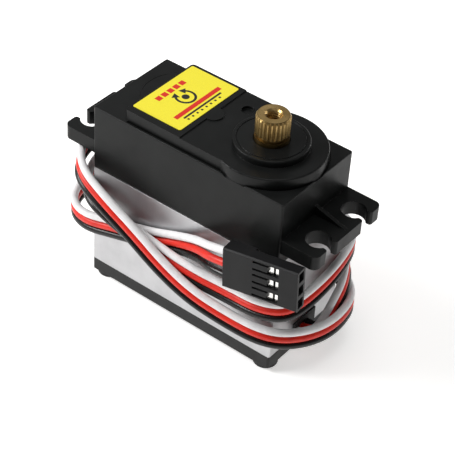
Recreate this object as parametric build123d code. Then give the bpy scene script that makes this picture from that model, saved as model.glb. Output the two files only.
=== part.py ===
from build123d import *
import math
import os

# Standard-size servo motor with a wound three-wire lead. Millimetres, +Z up.
# X runs along the case with the output shaft at +X, Y runs across it.
# The origin is under the middle of the case, on the surface that it stands on.

# ---- driving dimensions ----
CASE_LENGTH = 40.4
CASE_WIDTH = 19.6
CORNER_R = 0.4
INNER_CORNER_R = 0.5
FOOT_DROP = 0.6            # the corner bosses stand this far below the cover's edge
FOOT_FILLET = 0.25
COVER_TOP = 3.2
COVER_WALL = 1.3
COVER_FLOOR = 1.1
COVER_CHAMFER = 0.3
GASKET = 0.3
MIDDLE_BASE = COVER_TOP + GASKET
MIDDLE_TOP = 24.5
TOP_BASE = MIDDLE_TOP + GASKET
ROOF_TOP = 37.4
PLATEAU_TOP = 39.4
LABEL_PAD_TOP = 39.6
RING_TOP = 40.65
SHAFT_TOP = 45.5

MIDDLE_WALL = 1.2
TOP_WALL = 1.15
ROOF = 1.5
DECK = 2.0                 # bearing deck at the top of the middle case

EAR_TOP = 30.0
EAR_THICK = 2.7
EAR_REACH = 27.3
EAR_HALF_WIDTH = 9.5
EAR_CORNER_R = 1.3
HOLE_X = 24.55
HOLE_Y = 5.1
HOLE_R = 2.2
SLOT_MOUTH = 2.5
RIB_HEIGHT = 1.9
RIB_THICK = 0.7
RIB_START = 0.5            # depth of the rib's root inside the case wall
RIB_SINK = 0.1             # depth of the rib's foot inside the ear
RIB_SETBACK = 0.3          # from the ear's end to the rib's tip
MOUTH_R = 0.5

SCREW_X = 18.0
SCREW_Y = 7.5
SCREW_R = 0.95             # M2 case screws
SCREW_CLEAR_R = 1.1
SCREW_HEAD_R = 1.5
SCREW_HEAD = 1.2
SCREW_HEAD_BOTTOM = 0.3
SCREW_HEAD_FILLET = 0.3
SCREW_REACH = 33.0         # the tapped holes end here
SCREW_TIP = 32.0
CROSS_RECESS = (2.0, 0.45, 0.7)
BOSS_R = 2.25
BOSS_INNER_R = 1.9

OUTPUT_X = 10.25
PIN_A = (0.25, 0.0)
MOTOR_X = -9.25
PIN_R = 1.0
PIN_BOSS_R = 2.1
PIN_A_BOTTOM = 22.9
PIN_TOP = 37.0
RUN_GAP = 0.04             # radial running clearance
CLOSE_GAP = 0.01           # between pieces that all but touch

PIN_A_BOSS_BASE = 35.2
PIN_B_BOSS_BASE = 31.2
LOW_CHAMBER_END = -13.0    # left of here the gearbox is solid above its screw columns
LOW_CHAMBER_TOP = 31.5
ROOF_FILLET = 0.2
MERGE = 0.1                # overlap that joins two solids which only touch

PLATEAU_LEFT = -13.8
PLATEAU_CORNER_R = 0.7
PLATEAU_HALF_WIDTH = 9.1
PAD_RIGHT = -1.95
PAD_BUMP_R = 1.9
DISC_R = 9.75
DISC_FILLET = 0.25
FOOT_GROOVE = (0.25, 0.3)      # width and depth, along the foot of the raised roof
RING_R = 6.6
RING_FILLET = 0.2
RING_GROOVE = (5.95, 5.75)   # outer and inner radius
RING_GROOVE_DEPTH = 0.12
RING_HOLE_R = 3.12
DIMPLE = (1.63, 4.88)
DIMPLE_R = 1.15
DIMPLE_DEPTH = 0.5
LABEL_X = (-13.35, -3.0)
LABEL_Y = (-7.6, 8.4)
LABEL_THICK = 0.1
LABEL_CORNER_R = 0.3

# ---- gear train: teeth, modules and levels ----
PRESSURE_ANGLE = 25.0
ADDENDUM = 0.85            # in modules
DEDENDUM = 1.15
BACKLASH = 0.05            # taken off each tooth's thickness
M_MOTOR, M_MID, M_OUT = 0.25, 0.3, 0.4
Z_PINION, Z_FIRST = 12, 64
Z_SMALL, Z_LARGE = 10, 34
Z_LAST, Z_OUTPUT = 11, 39
MID_DISTANCE = (Z_SMALL + Z_LARGE) * M_MID / 2
PIN_B_ANGLE = 153.0
PIN_B = (
    PIN_A[0] + MID_DISTANCE * math.cos(math.radians(PIN_B_ANGLE)),
    PIN_A[1] + MID_DISTANCE * math.sin(math.radians(PIN_B_ANGLE)),
)
PINION_Z = (24.9, 26.7)
FIRST_Z = (25.1, 26.5)
FIRST_SMALL_TOP = 28.7
SECOND_Z = (26.9, 28.4)
SECOND_SMALL_TOP = 30.8
THIRD_Z = (29.0, 30.5)
THIRD_SMALL_TOP = 34.9
OUTPUT_GEAR_Z = (31.0, 34.5)

# ---- output shaft and its bearings ----
SPLINE_TEETH = 25
SPLINE_R = 2.96
SPLINE_ROOT_R = 2.72
SPLINE_ROOT_SHARE = 0.4    # half a tooth's width at the root, in tooth steps
SPLINE_TIP_SHARE = 0.14
SPLINE_BASE = 42.0
SPLINE_CHAMFER = (0.45, 0.3)
COLLAR_TOP = 41.35
HUB_BASE = 26.8
GEAR_RELIEF = (33.4, 6.4, 4.0)   # base level, outer and inner radius
SHOULDER_R = 2.6
JOURNAL_R = 3.0
STUB_R = 1.5
HUB_R = 2.6
SHAFT_BOTTOM = 22.4
HORN_SCREW_R = 1.25
HORN_SCREW_DEPTH = 6.5
HORN_SCREW_MOUTH = 0.3
UPPER_BEARING = (35.4, 38.4)
UPPER_BEARING_R = 5.0
UPPER_BALLS = (9, 0.55)    # count and race radius
LOWER_BEARING = (22.5, 24.5)
LOWER_BEARING_R = 3.0
LOWER_BALLS = (7, 0.4)
RACE_SHARE = 0.6           # of the race radius, from its middle to each ring's face
BEARING_BOSS_WALL = 1.2
SEAL_R = 4.0
SEAL_TOP = 39.6
SEAL_MIDDLE = 39.05
POT_SHAFT_R = 0.9
POT_SHAFT_DEPTH = 3.0
PIN_B_BOTTOM = 26.8

# ---- motor ----
MOTOR_R = 8.0
CAN_WALL = 0.6
CAN_TOP = MIDDLE_TOP - DECK
CAN_BOTTOM = 8.2
MOTOR_BOSS_R = 2.6
MOTOR_BOSS_TOP = 23.6
BUSH_R = 1.8
FRONT_BUSH_BOTTOM = 21.4
REAR_BUSH_TOP = 8.4
BUSH_GAP = 0.02
END_CAP_BOTTOM = 6.6
END_CAP_FLOOR = 1.2
END_CAP_SPIGOT = 1.2
END_CAP_BORE_R = 5.2
MOTOR_SHAFT_R = 0.75
MOTOR_SHAFT_Z = (7.0, 26.7)
MAGNET_R = 5.7
MAGNET_Z = (11.0, 20.5)
MAGNET_HALF_GAP = 2.4
ARMATURE_R = 5.3
ARMATURE_Z = (12.0, 19.5)
ARMATURE_HUB_R = 1.9
POLE_HALF_WIDTH = 0.8
SHOE_INNER_R = 4.4
SHOE_SECTOR = (7.0, 5.0)   # length and half width of the wedge that trims each shoe
COIL_X = (2.2, 3.9)
COIL_HALF_WIDTH = 1.9
COIL_OVERHANG = 0.9
COIL_FILLET = 0.8
COMMUTATOR_R = 1.6
COMMUTATOR_Z = (8.9, 11.0)
TERMINAL_Y = 5.9
TERMINAL_HALF = (0.9, 0.3)
TERMINAL_TOP = 10.2
BRUSH_Y = (5.6, 2.0, 1.62)     # outer end, back of the pad, face on the commutator
BRUSH_ARM_Z = (9.7, 10.1)
BRUSH_PAD_Z = (9.1, 10.7)
MOTOR_SCREW_Y = 5.0
MOTOR_SCREW_R = 0.8
MOTOR_SCREW_BOTTOM = 21.6
MOTOR_SCREW_HEAD_R = 1.4
MOTOR_SCREW_TOP = 25.2
MOTOR_SCREW_SLOT = (0.15, 0.3)     # half width and depth

# ---- position sensor and board ----
POT_R = 4.8
POT_WALL = 0.8
POT_Z = (12.0, 20.5)
POT_FLOOR = 1.0
POT_ROOF = 1.2
POT_NECK_R = 2.8
POT_NECK_BORE_R = 1.8
TRACK_THICK = 0.4
TRACK_INNER_R = 2.4
WIPER_R = 3.6
WIPER_Z = (15.2, 16.0)
WIPER_FINGER_X = (2.4, 3.4)
WIPER_FINGER_HALF = 0.5
POT_PIN_HALF = (0.3, 0.25)
POT_PIN_Y = (-2.5, 0, 2.5)
BOARD_Z = (4.6, 5.6)
BOARD_SIZE = (31.0, 13.6)
BOARD_CORNER_R = 0.5
CHIP = (1.0, 7.0, -3.0, 3.0)
CHIP_HEIGHT = 1.2
TRANSISTOR_HALF = (1.3, 0.9)
TRANSISTOR_HEIGHT = 1.0
TRANSISTORS = ((2.2, 4.8), (5.8, 4.8), (2.2, -4.8), (5.8, -4.8))
CAPACITOR = (13.2, -4.6)
CAPACITOR_R = 1.8
CAPACITOR_HEIGHT = 5.0

# ---- lead, grommet and connector ----
WIRE_D = 1.4
WIRE_PITCH = 1.5
GROMMET_Z = 6.9
GROMMET_HALF_WIDTH = 3.2
GROMMET_FLANGE = (0.6, 0.4)    # thickness and overhang behind the wall
GROMMET_SLOT = 2.0
EXIT_X = CASE_LENGTH / 2 + 0.3
CORNER_SHARE = 0.45            # of the shorter run, taken by each bend's arc
WIRE_SIDES = {"signal_wire": 1, "power_wire": 0, "ground_wire": -1}
CONNECTOR_CENTRE = (19.86, -13.23, 24.47)
CONNECTOR_AXIS = (0.988, 0.126, 0.088)
CONNECTOR_UP = (-0.097, 0.070, 0.993)
CONNECTOR_LENGTH = 14.0
CONNECTOR_THICK = 2.6
CONNECTOR_HEIGHT = 7.75
CONNECTOR_CHAMFER = 0.25
CONNECTOR_STEP = (-2.2, 0.7)   # end along the housing, and height, of its thicker back
CAVITY_HALF = (0.8, 0.9)
WINDOW = (-1.4, 3.5)           # along the housing
TONGUE_END = 1.4
TONGUE_HALF = 0.5
CONTACT_PITCH = 2.54
CONTACT_X = (-0.6, 6.2)
CONTACT_HALF = (0.74, 0.8)
CONTACT_BORE_HALF = 0.45
CONTACT_LATCH = (2.3, 2.7)
CONTACT_NECK = (-2.9, 4.6, 0.5)    # middle, length and radius
CONTACT_ROWS = (("signal_contact", 1), ("power_contact", 0), ("ground_contact", -1))

# The middle wire's route, wound nearly three times round the case, from the grommet to the
# connector. Each point has the offset from the middle wire to the white one; the black wire
# lies the same distance the other way.
LEAD_ROUTE = [
    ((20.5, -0.8, 5.0), (0.0, -1.5, 0.0)),
    ((22.7, -0.7, 5.2), (0.0, -1.48, 0.25)),
    ((24.1, 0.5, 6.9), (0.0, -1.35, 0.65)),
    ((24.3, 3.0, 9.4), (0.0, -1.1, 1.0)),
    ((23.8, 6.8, 11.9), (0.0, -0.8, 1.27)),
    ((20.8, 11.4, 13.8), (0.0, -0.3, 1.47)),
    ((13.0, 11.6, 15.6), (0.15, 0.0, 1.49)),
    ((2.5, 11.0, 18.4), (0.35, 0.0, 1.46)),
    ((-9.0, 11.0, 22.0), (0.4, 0.0, 1.45)),
    ((-19.0, 11.8, 24.4), (0.2, 0.0, 1.49)),
    ((-24.6, 7.6, 24.9), (0.0, 0.0, 1.5)),
    ((-25.6, 0.0, 25.0), (0.0, 0.0, 1.5)),
    ((-24.9, -7.6, 25.0), (0.0, 0.0, 1.5)),
    ((-21.2, -12.6, 24.4), (0.5, 0.0, 1.4)),
    ((-14.6, -14.0, 22.3), (0.7, 0.0, 1.33)),
    ((-7.5, -14.1, 18.9), (0.75, 0.0, 1.3)),
    ((-1.0, -14.0, 14.9), (0.75, 0.0, 1.3)),
    ((5.4, -13.5, 11.8), (0.6, 0.0, 1.37)),
    ((12.6, -12.3, 9.9), (0.35, 0.0, 1.46)),
    ((18.8, -11.7, 9.5), (0.15, 0.0, 1.49)),
    ((22.9, -9.2, 9.0), (0.05, 0.0, 1.5)),
    ((25.7, -3.5, 8.1), (0.0, 0.0, 1.5)),
    ((26.3, 2.5, 7.7), (0.0, 0.0, 1.5)),
    ((24.9, 8.6, 7.9), (0.0, 0.0, 1.5)),
    ((19.0, 12.0, 8.6), (-0.2, 0.0, 1.49)),
    ((8.0, 11.0, 11.0), (0.4, 0.0, 1.45)),
    ((-5.5, 11.0, 15.4), (0.5, 0.0, 1.41)),
    ((-18.5, 12.2, 19.0), (0.35, 0.0, 1.46)),
    ((-24.6, 8.8, 19.8), (0.0, 0.0, 1.5)),
    ((-24.6, 0.6, 20.1), (0.0, 0.0, 1.5)),
    ((-23.6, -6.8, 20.4), (0.0, 0.0, 1.5)),
    ((-20.2, -11.6, 19.9), (0.4, 0.0, 1.45)),
    ((-13.5, -12.4, 18.2), (0.45, 0.0, 1.43)),
    ((-5.0, -12.4, 16.4), (0.3, 0.0, 1.47)),
    ((3.5, -12.3, 15.2), (0.15, 0.0, 1.49)),
    ((11.5, -11.3, 14.6), (0.0, 0.0, 1.5)),
    ((18.4, -11.5, 15.0), (-0.1, 0.0, 1.5)),
    ((23.2, -9.6, 15.9), (-0.1, 0.0, 1.5)),
    ((24.6, -3.6, 17.5), (-0.1, 0.0, 1.5)),
    ((24.7, 3.0, 19.2), (0.0, 0.0, 1.5)),
    ((23.2, 9.2, 20.1), (0.0, 0.0, 1.5)),
    ((17.5, 13.4, 19.4), (-0.1, 0.0, 1.5)),
    ((6.0, 13.0, 17.0), (-0.15, 0.0, 1.49)),
    ((-6.0, 12.9, 15.8), (-0.15, 0.0, 1.49)),
    ((-17.5, 13.9, 14.4), (-0.1, 0.0, 1.5)),
    ((-25.6, 9.6, 13.5), (0.0, 0.0, 1.5)),
    ((-28.0, 1.0, 12.8), (0.0, 0.0, 1.5)),
    ((-27.6, -7.6, 11.9), (0.0, 0.0, 1.5)),
    ((-22.0, -11.2, 12.2), (-0.2, 0.0, 1.49)),
    ((-14.0, -10.7, 14.2), (-0.4, 0.0, 1.45)),
    ((-6.0, -10.7, 16.4), (-0.4, 0.0, 1.45)),
    ((0.6, -10.7, 19.0), (-0.42, 0.0, 1.5)),
    ((5.4, -11.9, 21.2), (-0.45, 0.06, 1.85)),
    ((9.6, -14.1, 23.2), (-0.32, 0.13, 2.28)),
    ((14.72, -13.89, 24.01), (-0.246, 0.178, 2.52)),
]

PARTS = "parts"


# ---- helpers ----
def write(node, shape):
    """One STEP file per node."""
    shape.label = node
    export_step(shape, f"{PARTS}/{node}.step")


def rod(x, y, z0, z1, radius):
    """Upright cylinder from z0 to z1."""
    return Pos(x, y, z0) * Cylinder(radius, z1 - z0, align=(Align.CENTER, Align.CENTER, Align.MIN))


def block(x0, x1, y0, y1, z0, z1):
    """Box between two corners."""
    box = Box(x1 - x0, y1 - y0, z1 - z0)
    return Pos((x0 + x1) / 2, (y0 + y1) / 2, (z0 + z1) / 2) * box


def rounded(length, width, radius, z0, z1):
    """Upright rounded-corner prism centred on the origin."""
    return Pos(0, 0, z0) * extrude(RectangleRounded(length, width, radius), z1 - z0)


def tube(x, y, z0, z1, outer, inner):
    """Upright ring."""
    return rod(x, y, z0, z1, outer) - rod(x, y, z0, z1, inner)


def solid_of(shape):
    """The one solid in a result, without its wrapper."""
    return shape.solids()[0]


def corners():
    """The four case screw positions."""
    return [(sx * SCREW_X, sy * SCREW_Y) for sx in (-1, 1) for sy in (-1, 1)]


def group(shapes):
    """Separate solids kept together as one node."""
    return Compound(children=list(shapes))


# ---- gears ----
def involute(angle):
    return math.tan(angle) - angle


def gear_outline(module, teeth):
    """Points of an involute gear outline, with one tooth centred on +X."""
    pitch_r = module * teeth / 2
    base_r = pitch_r * math.cos(math.radians(PRESSURE_ANGLE))
    tip_r = pitch_r + ADDENDUM * module
    root_r = pitch_r - DEDENDUM * module
    half_pitch = math.pi / (2 * teeth) - BACKLASH / (2 * pitch_r)
    start_r = max(base_r, root_r)
    lean = involute(math.radians(PRESSURE_ANGLE))
    flank = []
    steps = 4
    for i in range(steps + 1):
        radius = start_r + (tip_r - start_r) * i / steps
        roll = math.acos(min(1.0, base_r / radius))
        flank.append((radius, half_pitch + lean - involute(roll)))
    if root_r < base_r:
        flank.insert(0, (root_r, flank[0][1]))
    points = []
    for tooth in range(teeth):
        middle = 2 * math.pi * tooth / teeth
        points += [(r, middle - a) for r, a in flank]
        points += [(r, middle + a) for r, a in reversed(flank)]
    return [(r * math.cos(a), r * math.sin(a)) for r, a in points]


def gear(module, teeth, centre, z0, z1, turn):
    """Toothed disc, turned by an angle in degrees about its own centre."""
    outline = make_face(Polyline(gear_outline(module, teeth), close=True))
    disc = extrude(outline, z1 - z0)
    return Pos(centre[0], centre[1], z0) * Rot(0, 0, turn) * disc


def mesh_turn(driver_teeth, driver_turn, driven_teeth, bearing_deg):
    """Turn that puts a driven gear in mesh with its driver, which it sees at bearing_deg."""
    offset = (bearing_deg - driver_turn) * driver_teeth / driven_teeth
    return bearing_deg + 180 + offset + 180 / driven_teeth


def compound_gear(centre, large, small, bore_r):
    """Large wheel with a smaller pinion on top, running on a pin."""
    wheel = gear(*large)
    pinion = gear(*small)
    low = large[3]
    high = small[4]
    return solid_of(wheel + pinion - rod(*centre, low, high, bore_r))


def build_gears():
    """The motor pinion and three compound gears, all in mesh at rest."""
    bore = PIN_R + RUN_GAP
    out_bearing = 180.0
    last_turn = mesh_turn(Z_OUTPUT, 0, Z_LAST, out_bearing)
    third_turn = last_turn
    a_to_b = PIN_B_ANGLE
    second_small_turn = mesh_turn(Z_LARGE, third_turn, Z_SMALL, a_to_b)
    second_turn = second_small_turn
    first_small_turn = mesh_turn(Z_LARGE, second_turn, Z_SMALL, a_to_b + 180)
    first_turn = first_small_turn
    pinion_turn = mesh_turn(Z_FIRST, first_turn, Z_PINION, 180.0)
    third = compound_gear(
        PIN_A,
        (M_MID, Z_LARGE, PIN_A, *THIRD_Z, third_turn),
        (M_OUT, Z_LAST, PIN_A, THIRD_Z[1], THIRD_SMALL_TOP, last_turn),
        bore,
    )
    second = compound_gear(
        PIN_B,
        (M_MID, Z_LARGE, PIN_B, *SECOND_Z, second_turn),
        (M_MID, Z_SMALL, PIN_B, SECOND_Z[1], SECOND_SMALL_TOP, second_small_turn),
        bore,
    )
    first = compound_gear(
        PIN_A,
        (M_MOTOR, Z_FIRST, PIN_A, *FIRST_Z, first_turn),
        (M_MID, Z_SMALL, PIN_A, FIRST_Z[1], FIRST_SMALL_TOP, first_small_turn),
        bore,
    )
    pinion = gear(M_MOTOR, Z_PINION, (MOTOR_X, 0), *PINION_Z, pinion_turn)
    pinion -= rod(MOTOR_X, 0, *PINION_Z, MOTOR_SHAFT_R)
    write("first_gear", first)
    write("second_gear", second)
    write("third_gear", third)
    write("motor_pinion", solid_of(pinion))


# ---- output shaft ----
def spline_outline():
    """Straight-sided teeth with flat tips and roots."""
    corners_of_tooth = (
        (SPLINE_ROOT_R, -SPLINE_ROOT_SHARE),
        (SPLINE_R, -SPLINE_TIP_SHARE),
        (SPLINE_R, SPLINE_TIP_SHARE),
        (SPLINE_ROOT_R, SPLINE_ROOT_SHARE),
    )
    step = 2 * math.pi / SPLINE_TEETH
    points = []
    for tooth in range(SPLINE_TEETH):
        for radius, share in corners_of_tooth:
            angle = (tooth + share) * step
            points.append((radius * math.cos(angle), radius * math.sin(angle)))
    return points


def build_output_shaft():
    """Output gear and splined shaft in one piece, with the horn screw's tapped hole."""
    toothed = gear(M_OUT, Z_OUTPUT, (0, 0), *OUTPUT_GEAR_Z, 0)
    relief_base, relief_outer, relief_inner = GEAR_RELIEF
    relief = tube(0, 0, relief_base, OUTPUT_GEAR_Z[1], relief_outer, relief_inner)
    core = rod(0, 0, SHAFT_BOTTOM, HUB_BASE, STUB_R)
    core += rod(0, 0, HUB_BASE, OUTPUT_GEAR_Z[0], HUB_R)
    core += rod(0, 0, OUTPUT_GEAR_Z[0], COLLAR_TOP, JOURNAL_R)
    core += rod(0, 0, COLLAR_TOP, SPLINE_BASE, SHOULDER_R)
    spline = Pos(0, 0, SPLINE_BASE) * extrude(
        make_face(Polyline(spline_outline(), close=True)), SHAFT_TOP - SPLINE_BASE
    )
    tip_cone = rod(0, 0, SPLINE_BASE, SHAFT_TOP, SPLINE_R + RUN_GAP)
    tip_cone = chamfer(tip_cone.edges().group_by(Axis.Z)[-1], *SPLINE_CHAMFER)
    shaft = (toothed - relief) + core + (spline & tip_cone)
    shaft -= rod(0, 0, SHAFT_TOP - HORN_SCREW_DEPTH, SHAFT_TOP, HORN_SCREW_R)
    mouth = Pos(0, 0, SHAFT_TOP - HORN_SCREW_MOUTH / 2) * Cone(
        HORN_SCREW_R, HORN_SCREW_R + HORN_SCREW_MOUTH, HORN_SCREW_MOUTH
    )
    shaft -= mouth
    shaft -= rod(0, 0, SHAFT_BOTTOM, SHAFT_BOTTOM + POT_SHAFT_DEPTH, POT_SHAFT_R)
    write("output_shaft", Pos(OUTPUT_X, 0, 0) * solid_of(shaft))


def build_bearing(name, levels, outer, bore, balls):
    """Ball bearing on the output shaft: two rings with a race in each, and the balls."""
    count, race_r = balls
    middle_r = (outer + bore) / 2
    middle_z = sum(levels) / 2
    race_gap = race_r * RACE_SHARE
    outer_ring = tube(OUTPUT_X, 0, *levels, outer, middle_r + race_gap)
    inner_ring = tube(OUTPUT_X, 0, *levels, middle_r - race_gap, bore)
    race = Pos(OUTPUT_X, 0, middle_z) * Torus(middle_r, race_r)
    write(f"{name}_outer_ring", solid_of(outer_ring - race))
    write(f"{name}_inner_ring", solid_of(inner_ring - race))
    ring_of_balls = []
    for i in range(count):
        angle = 2 * math.pi * i / count
        x = OUTPUT_X + middle_r * math.cos(angle)
        y = middle_r * math.sin(angle)
        ring_of_balls.append(solid_of(Pos(x, y, middle_z) * Sphere(race_r - CLOSE_GAP)))
    write(f"{name}_balls", group(ring_of_balls))


def build_bearings():
    """The output shaft's upper and lower bearings, and the seal above them."""
    build_bearing("upper_bearing", UPPER_BEARING, UPPER_BEARING_R, JOURNAL_R, UPPER_BALLS)
    build_bearing("lower_bearing", LOWER_BEARING, LOWER_BEARING_R, STUB_R, LOWER_BALLS)
    ring_middle = (SEAL_R + JOURNAL_R) / 2
    ring_section = (SEAL_R - JOURNAL_R) / 2 - CLOSE_GAP
    seal = Pos(OUTPUT_X, 0, SEAL_MIDDLE) * Torus(ring_middle, ring_section)
    write("shaft_o_ring", solid_of(seal))


def build_pins():
    """Two steel pins: one held at both ends, one pressed into the roof only."""
    write("gear_pin_a", solid_of(rod(*PIN_A, PIN_A_BOTTOM, PIN_TOP, PIN_R)))
    write("gear_pin_b", solid_of(rod(*PIN_B, PIN_B_BOTTOM, PIN_TOP, PIN_R)))


# ---- casings ----
def gasket_outline(z0, z1, wall):
    """Rim of the case with its four screw columns."""
    outer = rounded(CASE_LENGTH, CASE_WIDTH, CORNER_R, z0, z1)
    inner = rounded(CASE_LENGTH - 2 * wall, CASE_WIDTH - 2 * wall, INNER_CORNER_R, z0, z1)
    rim = outer - inner
    for x, y in corners():
        rim += rod(x, y, z0, z1, BOSS_R) & outer
    for x, y in corners():
        rim -= rod(x, y, z0, z1, SCREW_CLEAR_R)
    return rim


def ear_slots(side, z0, z1):
    """The two open-ended screw slots of one ear."""
    cuts = []
    for y in (-HOLE_Y, HOLE_Y):
        cuts.append(rod(side * HOLE_X, y, z0, z1, HOLE_R))
        x0, x1 = sorted((side * HOLE_X, side * (EAR_REACH + 1)))
        cuts.append(block(x0, x1, y - SLOT_MOUTH / 2, y + SLOT_MOUTH / 2, z0, z1))
    return cuts


def ears():
    """Mounting ears at both ends, with a tapering rib on the middle of each."""
    z0 = EAR_TOP - EAR_THICK
    body = rounded(2 * EAR_REACH, 2 * EAR_HALF_WIDTH, EAR_CORNER_R, z0, EAR_TOP)
    for side in (-1, 1):
        for cut in ear_slots(side, z0, EAR_TOP):
            body -= cut
        inner = side * (CASE_LENGTH / 2 - RIB_START)
        foot = EAR_TOP - RIB_SINK
        tip = side * (EAR_REACH - RIB_SETBACK)
        outline = Polyline((inner, foot), (tip, foot), (inner, EAR_TOP + RIB_HEIGHT), close=True)
        rib = extrude(Plane.XZ * make_face(outline), RIB_THICK / 2, both=True)
        body += rib
    return body


def soften_slots(body):
    """Round the upright edges at the slots' mouths."""
    edges = []
    for edge in body.edges().filter_by(Axis.Z):
        at_end = abs(abs(edge.center().X) - EAR_REACH) < MERGE
        at_slot = abs(abs(edge.center().Y) - HOLE_Y) < SLOT_MOUTH / 2 + MERGE
        if at_end and at_slot:
            edges.append(edge)
    return fillet(edges, MOUTH_R)


def left_corners_rounded(box):
    """Block of the plateau with its two upright corners at -X rounded."""
    edges = [e for e in box.edges().filter_by(Axis.Z) if e.center().X < PLATEAU_LEFT + MERGE]
    return fillet(edges, PLATEAU_CORNER_R)


def top_edge_rounded(disc, radius):
    """Upright disc with its upper edge rounded."""
    return fillet(disc.edges().group_by(Axis.Z)[-1], radius)


def plateau():
    """Raised gearbox roof: a straight stretch under the label that runs into the output disc."""
    half = PLATEAU_HALF_WIDTH
    foot = ROOF_TOP - 2 * MERGE
    pad_foot = PLATEAU_TOP - MERGE
    straight = block(PLATEAU_LEFT, OUTPUT_X, -half, half, foot, PLATEAU_TOP)
    pad = block(PLATEAU_LEFT, PAD_RIGHT, -half, half, pad_foot, LABEL_PAD_TOP)
    bump = rod(PAD_RIGHT, 0, pad_foot, LABEL_PAD_TOP, PAD_BUMP_R)
    disc = top_edge_rounded(rod(OUTPUT_X, 0, foot, PLATEAU_TOP, DISC_R), DISC_FILLET)
    ring = top_edge_rounded(rod(OUTPUT_X, 0, pad_foot, RING_TOP, RING_R), RING_FILLET)
    return left_corners_rounded(straight) + disc + left_corners_rounded(pad) + bump + ring


def foot_groove():
    """Fine groove in the roof along the foot of the raised part's sides and disc."""
    width, depth = FOOT_GROOVE
    levels = (ROOF_TOP - depth, ROOF_TOP)
    half = PLATEAU_HALF_WIDTH
    straight = block(PLATEAU_LEFT, OUTPUT_X, -half, half, *levels)
    left = PLATEAU_LEFT + PLATEAU_CORNER_R
    groove = block(left, OUTPUT_X, -half - width, half + width, *levels)
    groove += rod(OUTPUT_X, 0, *levels, DISC_R + width)
    return groove - straight - rod(OUTPUT_X, 0, *levels, DISC_R)


def gear_space():
    """Room inside the top case: lower chamber, raised chamber and the output disc's chamber."""
    half_x = CASE_LENGTH / 2 - TOP_WALL
    half_y = CASE_WIDTH / 2 - TOP_WALL
    chamber = rounded(2 * half_x, 2 * half_y, INNER_CORNER_R, TOP_BASE, ROOF_TOP - ROOF)
    chamber -= block(-half_x, LOW_CHAMBER_END, -half_y, half_y, LOW_CHAMBER_TOP, ROOF_TOP)
    for x, y in corners():
        chamber -= rod(x, y, TOP_BASE, ROOF_TOP, BOSS_INNER_R)
        x0, x1 = sorted((x, math.copysign(half_x + 1, x)))
        y0, y1 = sorted((y, math.copysign(half_y + 1, y)))
        chamber -= block(x0, x1, y0, y1, TOP_BASE, ROOF_TOP)
    return chamber


def build_top_case():
    """Moulded gearbox cover that carries the ears."""
    shell = rounded(CASE_LENGTH, CASE_WIDTH, CORNER_R, TOP_BASE, ROOF_TOP)
    rim_edges = shell.edges().group_by(Axis.Z)[-1]
    shell = fillet(rim_edges, ROOF_FILLET)
    shell -= foot_groove()
    shell += soften_slots(ears())
    shell += plateau()
    shell -= gear_space()
    for pin, base in ((PIN_A, PIN_A_BOSS_BASE), (PIN_B, PIN_B_BOSS_BASE)):
        shell += rod(*pin, base, ROOF_TOP, PIN_BOSS_R)
        shell -= rod(*pin, base, PIN_TOP, PIN_R)
    shell += rod(OUTPUT_X, 0, UPPER_BEARING[0], ROOF_TOP, UPPER_BEARING_R + BEARING_BOSS_WALL)
    shell -= rod(OUTPUT_X, 0, UPPER_BEARING[0] - MERGE, UPPER_BEARING[1], UPPER_BEARING_R)
    shell -= rod(OUTPUT_X, 0, UPPER_BEARING[1], SEAL_TOP, SEAL_R)
    shell -= rod(OUTPUT_X, 0, SEAL_TOP - MERGE, RING_TOP, RING_HOLE_R)
    shell -= tube(OUTPUT_X, 0, RING_TOP - RING_GROOVE_DEPTH, RING_TOP, *RING_GROOVE)
    shell -= rod(*DIMPLE, PLATEAU_TOP - DIMPLE_DEPTH, PLATEAU_TOP, DIMPLE_R)
    for x, y in corners():
        shell -= rod(x, y, TOP_BASE, SCREW_REACH, SCREW_R)
    write("top_case", solid_of(shell))


def build_middle_case():
    """Aluminium sleeve with the bearing deck across its top."""
    outer = rounded(CASE_LENGTH, CASE_WIDTH, CORNER_R, MIDDLE_BASE, MIDDLE_TOP)
    inner_length = CASE_LENGTH - 2 * MIDDLE_WALL
    inner_width = CASE_WIDTH - 2 * MIDDLE_WALL
    shell = outer - rounded(inner_length, inner_width, INNER_CORNER_R, MIDDLE_BASE, CAN_TOP)
    for x, y in corners():
        shell += rod(x, y, MIDDLE_BASE, MIDDLE_TOP, BOSS_R) & outer
        shell -= rod(x, y, MIDDLE_BASE, MIDDLE_TOP, SCREW_CLEAR_R)
    shell -= rod(MOTOR_X, 0, CAN_TOP, MIDDLE_TOP, MOTOR_BOSS_R)
    for y in (-MOTOR_SCREW_Y, MOTOR_SCREW_Y):
        shell -= rod(MOTOR_X, y, CAN_TOP, MIDDLE_TOP, MOTOR_SCREW_R)
    shell -= rod(*PIN_A, PIN_A_BOTTOM, MIDDLE_TOP, PIN_R)
    shell -= rod(OUTPUT_X, 0, CAN_TOP, MIDDLE_TOP, LOWER_BEARING_R)
    half = GROMMET_HALF_WIDTH
    x_end = CASE_LENGTH / 2
    shell -= block(x_end - GROMMET_SLOT, x_end + MERGE, -half, half, MIDDLE_BASE, GROMMET_Z)
    write("middle_case", solid_of(shell))


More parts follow.
